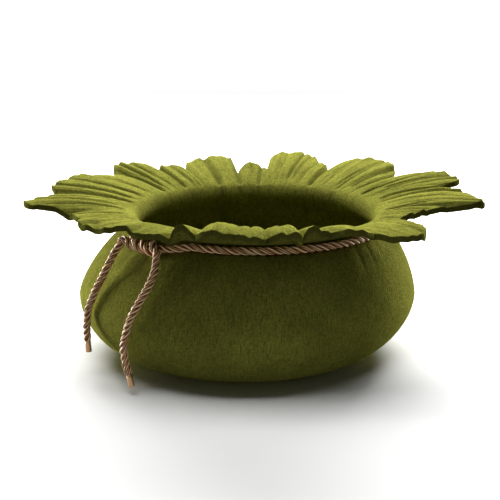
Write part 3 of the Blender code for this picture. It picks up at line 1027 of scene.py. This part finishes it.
    def collar_rows(self, columns: CollarColumns, depth: float) -> Grid:
        """The collar's rows on one face, from above the groove to the petals' edges.

        The felt rolls out of the neck on an arc until it has the petal's first slope, then follows
        a parabola whose slope goes from rise to tail, with the ridges added to its level.

        Args:
            columns: The settings at each column.
            depth: How far in from the outer face it lies.

        Returns:
            The points, row by row.
        """
        bend = self.groove_radius + depth
        rolls = np.array(self.rolls)[:, None]
        turn = (math.pi / 2 - columns.rise) * rolls
        radius = self.neck_radius + self.groove_radius - bend * np.cos(turn)
        level = self.neck_level + bend * np.sin(turn)
        part = self.parts[:, None]
        start_radius, start_level = radius[-1], level[-1]
        nicks = self.scallop * self.creases(columns.azimuth[None], np.ones((1, 1)))[0]
        rough, high = np.zeros((2, *columns.azimuth.shape))
        for wave in EDGE_WAVES:
            swing = np.cos(np.radians(wave["waves"] * (columns.azimuth - wave["crest"])))
            rough, high = rough + wave["out"] * swing, high + wave["height"] * swing
        length = columns.reach - nicks + rough - self.edge_round - start_radius
        out = start_radius + length * part
        slope, end_slope = np.tan(columns.rise), np.tan(columns.tail)
        up = start_level + length * (slope * part - (slope - end_slope) * part**2 / 2)
        share = self.underside_share if depth == 0 else 1.0
        ramp = smooth(self.pleat_root + 2 * part) * (1 - self.tip_loss * part**2)
        over = columns.over * smooth((out - columns.notch + self.over_before) / self.over_fade)
        fold = self.creases(columns.azimuth[None], part)
        up = up + (columns.ridge * ramp - fold) * share + (columns.lift + high * part) * part + over
        root = smooth(self.pleat_root * rolls) * columns.ridge * share * smooth(rolls * 1.4 - 0.4)
        every_radius = np.concatenate([radius, out])
        every_level = np.concatenate([level + root, up])
        return self.round_points(columns.azimuth[None], every_radius, every_level)

    def rim_rows(self, columns: CollarColumns, under: Grid, top: Grid) -> Grid:
        """The cut edge between the underside's last row and the top's, slightly rounded.

        A row at s from -1 to 1 lies out beyond the faces' last rows by edge_round (1 - |s|^6).

        Args:
            columns: The settings at each column.
            under: The underside's last row.
            top: The top's last row.

        Returns:
            The rows between them.
        """
        s = np.sin(np.radians(self.rim_turns))[:, None]
        out = self.edge_round * (1 - np.abs(s) ** 6)
        rad = np.radians(columns.azimuth)
        outward = np.stack([np.cos(rad), np.sin(rad), np.zeros_like(rad)], axis=-1)
        between = under + (top - under) * ((s + 1) / 2)[..., None]
        return between + out[..., None] * outward

    def face_rows(self, columns: CollarColumns, depth: float) -> Grid:
        """All the rows on one face, from the middle of the base to the petals' edges."""
        made = (self.floor_rows, self.body_rows, self.collar_rows)
        return np.concatenate([rows(columns, depth) for rows in made])

    def build(self, finish: FeltFinish, speckle: NodeTree) -> None:
        """Builds the felt's one closed sheet and dresses it.

        Args:
            finish: The felt's finish.
            speckle: The shared speckle group.
        """
        columns = self.columns()
        outer, inner = (self.face_rows(columns, depth) for depth in (0.0, self.wall))
        rim = self.rim_rows(columns, outer[-1], inner[-1])
        rings = np.concatenate([outer, rim, inner[::-1]])
        steps = np.linalg.norm(np.diff(outer, axis=0), axis=-1).mean(axis=1)
        run_out = np.concatenate([[0], np.cumsum(steps)])
        run = np.concatenate([run_out, np.full(len(rim), run_out[-1]), run_out[::-1]])
        run[len(outer) + len(rim) :] += self.inner_face
        run = np.broadcast_to(run[:, None], rings.shape[:2])
        # cut marks the rows round the cut edge, where the material paints shade.
        cut = np.zeros(rings.shape[:2])
        cut[len(outer) - 1 : len(outer) + len(rim) + 1] = 1.0
        out = np.append(np.zeros(len(self.rolls)), self.parts)[:, None]
        # Painted shade for the material: how dark the pleats' valleys and the creases are painted,
        # full at the given depth.
        valley = np.clip(columns.ridge / self.ridge_low, 0, 1) ** 1.5
        fold_shade = valley[None] * (0.3 + 0.7 * out) * 0.6
        fold_shade = np.clip(fold_shade + self.creases(columns.azimuth[None], out) / self.fully_shaded_depth, 0, 1)
        crease = np.zeros(rings.shape[:2])
        crease[len(outer) - len(out) : len(outer)] = fold_shade
        crease[len(outer) + len(rim) : len(outer) + len(rim) + len(out)] = fold_shade[::-1]
        surface = tube_surface(rings, {"run": run, "cut": cut, "crease": crease})
        made = add_piece("felt_shell", surface, finish.material(speckle))
        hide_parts("felt")

    @staticmethod
    def sheet_area(rows: Grid) -> float:
        """The area of a grid of rows that closes on itself.

        A square's area is half the size of its diagonals' cross product.

        Args:
            rows: The points, row by row.

        Returns:
            The area in square metres.
        """
        here, up = rows[:-1], rows[1:]
        first = np.roll(up, -1, axis=1) - here
        second = up - np.roll(here, -1, axis=1)
        return float(np.linalg.norm(np.cross(first, second), axis=-1).sum() / 2)


# ------------------------------------------------------------------------ cord

# Each tail's run from the knot: azimuth and radius about the base's middle, and level.
TAIL_LEFT = table(
    "azimuth radius level",
    (213.4, 0.1668, 0.1560),
    (213.4, 0.1695, 0.1500),
    (212.8, 0.1755, 0.1418),
    (213.5, 0.1858, 0.1274),
    (212.2, 0.1930, 0.1114),
    (210.9, 0.1994, 0.0955),
    (209.8, 0.2050, 0.0792),
    (209.2, 0.2068, 0.0620),
    (208.9, 0.2068, 0.0500),
    (208.9, 0.2062, 0.0400),
)
TAIL_RIGHT = table(
    "azimuth radius level",
    (234.2, 0.1672, 0.1450),
    (235.6, 0.1765, 0.1318),
    (235.7, 0.1858, 0.1198),
    (233.8, 0.1980, 0.0990),
    (232.3, 0.2040, 0.0848),
    (231.2, 0.2072, 0.0690),
    (230.0, 0.2078, 0.0520),
    (230.7, 0.2080, 0.0350),
    (232.1, 0.2085, 0.0215),
)


@dataclass
class LaidRope:
    """Three round strands laid up right-handed about a path."""

    strand_radius: float = 0.00207
    strand_offset: float = 0.00243
    strands: int = 3
    sides: int = 12
    # The distances from the cord's middle over which the painted groove shade fades out.
    groove_from: float = 0.0026
    groove_to: float = 0.0044

    def surface(self, path: Grid, lay: float, first_side: Grid) -> Surface:
        """The strands' surfaces along a path.

        Strand k's centre is the path plus offset (n cos a + b sin a), where a is
        2 pi (run / lay + k / 3), and n and b are the path's two sides.

        Args:
            path: The cord's centreline.
            lay: The length in which a strand goes once round.
            first_side: Where the first strand lies at the path's start, square to it.

        Returns:
            All the strands as one surface.
        """
        _, normals, sides = frames_along(path)
        run = run_along(path)
        begin = math.atan2(float(first_side @ sides[0]), float(first_side @ normals[0]))
        around = 2 * math.pi * np.arange(self.sides) / self.sides
        made = []
        for strand in range(self.strands):
            angle = begin + 2 * math.pi * (run / lay + strand / self.strands)
            lean = np.cos(angle)[:, None] * normals + np.sin(angle)[:, None] * sides
            centre = path + self.strand_offset * lean
            _, across, other = frames_along(centre)
            rings = centre[:, None] + self.strand_radius * (
                np.cos(around)[None, :, None] * across[:, None]
                + np.sin(around)[None, :, None] * other[:, None]
            )
            # deep is 1 near the cord's middle, in the grooves between the strands, where the
            # material paints shade.
            away = np.linalg.norm(rings - path[:, None], axis=-1)
            deep = 1 - smooth((away - self.groove_from) / (self.groove_to - self.groove_from))
            turn = np.broadcast_to(around / (2 * math.pi), away.shape)
            along = np.broadcast_to(run[:, None], away.shape)
            made.append(tube_surface(rings, {"deep": deep, "turn": turn, "along": along}))
        return joined(made)


@dataclass
class NeckCord:
    """The cord round the neck with its half knot, its two tails and their metal tips."""

    rope: LaidRope = field(default_factory=LaidRope)
    radius: float = 0.0045
    gap: float = 0.0003
    ring_clear: float = 0.0006
    neck_radius: float = 0.1455
    neck_level: float = 0.157
    neck_shift: float = 0.0114
    ring_lay: float = 0.028
    tail_lay: float = 0.022
    step: float = 0.0011
    knot_left: float = 214.0
    knot_right: float = 230.0
    knot_radius: float = 0.1678
    knot_level: float = 0.1532
    knot_turns: float = 1.5
    wrap_radius: float = 0.0049
    knot_lead: float = 14.0
    knot_points: int = 19
    ring_points: int = 96
    tail_straight: float = 0.003

    def round_neck(self, azimuth: Grid, radius: Grid, level: Grid) -> Grid:
        """Points by azimuth and radius about the neck's middle, at a level."""
        rad = np.radians(azimuth)
        x = self.neck_shift + radius * np.cos(rad)
        return np.stack(np.broadcast_arrays(x, radius * np.sin(rad), level), axis=-1)

    def knot_run(self, start_phase: float) -> Grid:
        """One cord's way through the half knot: a helix about a level line along the neck.

        Args:
            start_phase: How far round the line it starts, in radians.

        Returns:
            The points of the way.
        """
        part = np.linspace(0, 1, self.knot_points)
        phase = start_phase + 2 * math.pi * self.knot_turns * part
        azimuth = self.knot_left + (self.knot_right - self.knot_left) * part
        radius = self.knot_radius - self.wrap_radius * np.cos(phase)
        return self.round_neck(azimuth, radius, self.knot_level + self.wrap_radius * np.sin(phase))

    def ring_run(self) -> Grid:
        """The way round the neck: in its groove, and led out to the knot near either end.

        Returns:
            The points of the way.
        """
        azimuth = np.linspace(self.knot_right, self.knot_left + 360, self.ring_points)[1:-1]
        near = np.minimum(azimuth - self.knot_right, self.knot_left + 360 - azimuth)
        seated = smooth(near / self.knot_lead)
        led = self.knot_radius - self.wrap_radius
        ring = self.neck_radius + self.gap + self.ring_clear + self.radius
        level = self.knot_level + (self.neck_level - self.knot_level) * seated
        return self.round_neck(azimuth, led + (ring - led) * seated, level)

    def neck_path(self) -> Grid:
        """From the left tail through the knot, round the neck and through the knot again."""
        runs = [self.knot_run(math.pi), self.ring_run(), self.knot_run(0.0)]
        return even_path(np.concatenate(runs), self.step)

    def tail_path(
        self, exit_point: Grid, inner_point: Grid, rows: Sequence[dict[str, float]]
    ) -> Grid:
        """From just past the knot's end, straight out for a little, then through the rows' points.

        Args:
            exit_point: The neck cord's end.
            inner_point: The point of the neck cord next to its end.
            rows: The azimuth, radius and level of the points to go through.

        Returns:
            The tail's even points.
        """
        heading = (exit_point - inner_point) / np.linalg.norm(exit_point - inner_point)
        points = [exit_point + heading * self.gap, exit_point + heading * self.tail_straight]
        for row in rows:
            rad = math.radians(row["azimuth"])
            out = row["radius"]
            points.append(np.array([out * math.cos(rad), out * math.sin(rad), row["level"]]))
        return even_path(points, self.step)

    def build(self, cord: Material, metal: Material) -> None:
        """Args:
            cord: The cord's material.
            metal: The tips' material.
        """
        path = self.neck_path()
        _, normals, sides = frames_along(path)
        strands = self.rope.surface(path, self.ring_lay, normals[0])
        neck = add_piece("neck_cord_strands", strands, cord)
        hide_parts("neck_cord")
        turned = 2 * math.pi * path_length(path) / self.ring_lay
        last_side = math.cos(turned) * normals[-1] + math.sin(turned) * sides[-1]
        ends = (
            ("left", path[0], path[1], TAIL_LEFT, normals[0]),
            ("right", path[-1], path[-2], TAIL_RIGHT, last_side),
        )
        for side, end, inner, rows, first_side in ends:
            tail_path = self.tail_path(end, inner, rows)
            strands = self.rope.surface(tail_path, self.tail_lay, first_side)
            tail = add_piece(f"tail_{side}_strands", strands, cord)
            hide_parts(f"tail_{side}")
            heading = tail_path[-1] - tail_path[-2]
            heading /= np.linalg.norm(heading)
            start = tail_path[-1] + heading * self.gap
            tip = MetalTip(start, heading).build(f"tip_{side}_metal", metal)
            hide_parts(f"tip_{side}")


# A tip's rolled mouth: how far along it, and how far in from its full radius.
TIP_MOUTH = table(
    "along inset",
    (0.0, 0.0004),
    (0.0002, 0.0001),
    (0.0006, 0.0),
    (0.0011, 0.0001),
    (0.0015, 0.0005),
    (0.0019, 0.0006),
    (0.0024, 0.0003),
    (0.0030, 0.0001),
)


@dataclass
class MetalTip:
    """A crimped metal tip: a short turned tube with a rolled mouth and a rounded end."""

    start: Grid
    heading: Grid
    radius: float = 0.0035
    roll: float = 0.0001
    length: float = 0.014
    rounding: float = 0.0009
    tube_from: float = 0.0042
    tube_rings: int = 7
    sides: int = 40

    def build(self, name: str, metal: Material) -> bpy.types.Object:
        """Builds the tip as one turned outline about its heading.

        Args:
            name: The piece's name.
            metal: Its material.

        Returns:
            The tip's object.
        """
        side = np.cross(self.heading, (0.0, 1.0, 0.0))
        side /= np.linalg.norm(side)
        other = np.cross(self.heading, side)
        mouth, inset = (np.array([row[name] for row in TIP_MOUTH]) for name in ("along", "inset"))
        tube = np.linspace(self.tube_from, self.length - self.rounding, self.tube_rings)
        end = self.length - self.rounding * (1 - np.sin(np.radians([30, 60, 90])))
        along = np.concatenate([mouth, tube, end])
        radius = np.full(len(along), self.radius - self.roll)
        radius[: len(mouth)] = self.radius - inset
        radius[-3:] -= self.rounding * (1 - np.cos(np.radians([30, 60, 88])))
        turns = 2 * math.pi * np.arange(self.sides) / self.sides
        circle = np.cos(turns)[:, None] * side + np.sin(turns)[:, None] * other
        middle = self.start + self.heading * along[:, None, None]
        rings = middle + radius[:, None, None] * circle[None]
        number = np.broadcast_to(along[:, None], rings.shape[:2])
        return add_piece(name, tube_surface(rings, {"along": number}), metal)


# ---------------------------------------------------------------------- studio


class Falls(Enum):
    """What a lamp falls on, as the state of the floor in the lamp's own list."""

    BOTH = "BOTH"
    FLOOR = "INCLUDE"
    CAVE = "EXCLUDE"


@dataclass(frozen=True)
class SoftBox:
    """One soft lamp: a lit rectangle that looks at a point."""

    name: str
    place: tuple[float, float, float]
    aim: tuple[float, float, float]
    size: tuple[float, float]
    power: float
    falls: Falls = Falls.BOTH

    def build(self, floor: bpy.types.Object) -> None:
        """Puts the lamp in the scene, and has it light only what it falls on.

        Args:
            floor: The floor, which is in the lamp's own list.
        """
        lamp = bpy.data.lights.new(self.name, "AREA")
        lamp.shape = "RECTANGLE"
        lamp.size, lamp.size_y = self.size
        lamp.energy = self.power
        made = bpy.data.objects.new(self.name, lamp)
        made.location = self.place
        way = Vector(self.aim) - Vector(self.place)
        made.rotation_euler = way.to_track_quat("-Z", "Y").to_euler()
        made.visible_camera = False
        bpy.context.scene.collection.objects.link(made)
        if self.falls is not Falls.BOTH:
            lit = bpy.data.collections.new(f"lit_by_{self.name}")
            lit.objects.link(floor)
            lit.collection_objects[0].light_linking.link_state = self.falls.value
            made.light_linking.receiver_collection = lit


@dataclass(frozen=True)
class Studio:
    """The pale floor, the lamps and the camera."""

    elevation: float = 14.0
    distance: float = 1.5
    aim: tuple[float, float, float] = (0.0042, 0.0, 0.1206)
    lens: float = 90.0
    floor: Colour = (0.80, 0.80, 0.79)
    floor_fleck: Colour = (0.8, 0.8, 0.8)
    fleck_share: float = 0.02
    floor_drop: float = 0.0003
    floor_sides: int = 96
    flat_out: float = 1.2
    sweep_from: float = 2.2
    sweep: float = 0.8
    wall_top: float = 3.5
    glow_wide: float = 1.6
    glow_on_things: float = 0.25
    glow_seen: float = 0.9
    surround: float = 0.04
    lamps: tuple[SoftBox, ...] = (
        SoftBox("lamp_back", (0.0, 1.55, 1.16), (0.0, 0.1, 0.10), (2.6, 0.7), 150.0),
        SoftBox("lamp_over", (0.0, 0.40, 2.00), (0.0, 0.0, 0.10), (1.8, 0.9), 34.0, Falls.CAVE),
        SoftBox("lamp_left", (-1.45, 0.80, 0.20), (0.0, 0.0, 0.10), (0.8, 0.4), 66.0, Falls.CAVE),
        SoftBox("lamp_right", (1.25, 1.20, 0.20), (0.0, 0.0, 0.10), (0.8, 0.4), 84.0, Falls.CAVE),
        SoftBox(
            "lamp_bounce", (0.0, -0.42, 0.005), (0.0, -0.20, 0.04), (1.2, 0.2), 0.95, Falls.CAVE
        ),
        SoftBox("lamp_floor", (0.0, -0.30, 2.20), (0.0, -0.10, 0.0), (2.4, 1.2), 54.0, Falls.FLOOR),
    )

    def camera(self) -> None:
        """Puts in the camera at the photo's angle, looking down at the object's middle."""
        data = bpy.data.cameras.new("camera")
        data.lens = self.lens
        data.sensor_width = 36.0
        data.clip_start = 0.01
        data.clip_end = 50.0
        made = bpy.data.objects.new("camera", data)
        down = math.radians(self.elevation)
        back = np.array([0.0, -math.cos(down), math.sin(down)]) * self.distance
        made.location = tuple(np.array(self.aim) + back)
        made.rotation_euler = (math.pi / 2 - down, 0.0, 0.0)
        bpy.context.scene.collection.objects.link(made)
        bpy.context.scene.camera = made

    def paper(self) -> Material:
        """Builds the floor's pale paper, which glows where it stands up as a wall.

        Returns:
            The material.
        """
        material, make, shader = new_material("floor_paper")
        fleck = make.noise(make.place(), 60.0, 2.0)
        seen = make.node("ShaderNodeLightPath").outputs["Is Camera Ray"]
        wall = make.attribute("wall")
        fleck_layer = (fleck, (0.3, 0.7, self.fleck_share), self.floor_fleck)
        values = {
            "Base Color": make.layered(self.floor, fleck_layer),
            "Roughness": 0.9,
            "Specular IOR Level": 0.1,
            "Emission Color": make.mixed(wall, (0, 0, 0, 1), (1, 1, 1, 1)),
            "Emission Strength": make.ranged(seen, 0.0, 1.0, self.glow_on_things, self.glow_seen),
        }
        make.feed(shader, values)
        return material

    def round_floor(self) -> bpy.types.Object:
        """Builds the round floor, which sweeps up to a wall on a quarter circle.

        Returns:
            The floor's object.
        """
        bend = np.radians(np.linspace(0, 90, 13))
        far = self.sweep_from + self.sweep * np.sin(bend)
        out = np.concatenate([[0.05, self.flat_out], far, far[-1:]])[:, None]
        up = np.concatenate([[0.0, 0.0], self.sweep * (1 - np.cos(bend)), [self.wall_top]])[:, None]
        turn = 2 * math.pi * np.arange(self.floor_sides)[None] / self.floor_sides
        points = np.stack(np.broadcast_arrays(out * np.cos(turn), out * np.sin(turn), up), axis=-1)
        faces = grid_faces(len(out), self.floor_sides).tolist()
        faces.append(list(range(self.floor_sides - 1, -1, -1)))
        mesh = bpy.data.meshes.new("floor")
        mesh.from_pydata(points.reshape(-1, 3).tolist(), [], faces)
        wall = mesh.attributes.new("wall", "FLOAT", "POINT")
        lit = np.broadcast_to(smooth((out - self.flat_out) / self.glow_wide), points.shape[:2])
        wall.data.foreach_set("value", lit.astype(np.float32).reshape(-1))
        mesh.shade_smooth()
        mesh.materials.append(self.paper())
        floor = bpy.data.objects.new("floor", mesh)
        floor.location.z = -self.floor_drop
        floor.visible_diffuse = False
        bpy.context.scene.collection.objects.link(floor)
        return floor

    def build(self) -> None:
        """Builds the floor, the lamps and the surrounding light."""
        floor = self.round_floor()
        for lamp in self.lamps:
            lamp.build(floor)
        world = bpy.data.worlds.new("studio")
        world.use_nodes = True
        ground = world.node_tree.nodes["Background"]
        ground.inputs["Color"].default_value = (1.0, 1.0, 1.0, 1.0)
        ground.inputs["Strength"].default_value = self.surround
        bpy.context.scene.world = world
        bpy.context.scene.view_settings.view_transform = "Standard"


# ------------------------------------------------------------------------ main


def main() -> None:
    """Builds the studio's camera, the cords, the felt and the studio, in that order."""
    logging.basicConfig(level=logging.INFO, format="%(name)s: %(message)s")
    studio = Studio()
    studio.camera()
    speckle = speckle_group()
    NeckCord().build(CordFinish().material(speckle), TipFinish().material(speckle))
    FeltShell().build(FeltFinish(), speckle)
    studio.build()


if __name__ == "__main__":
    main()
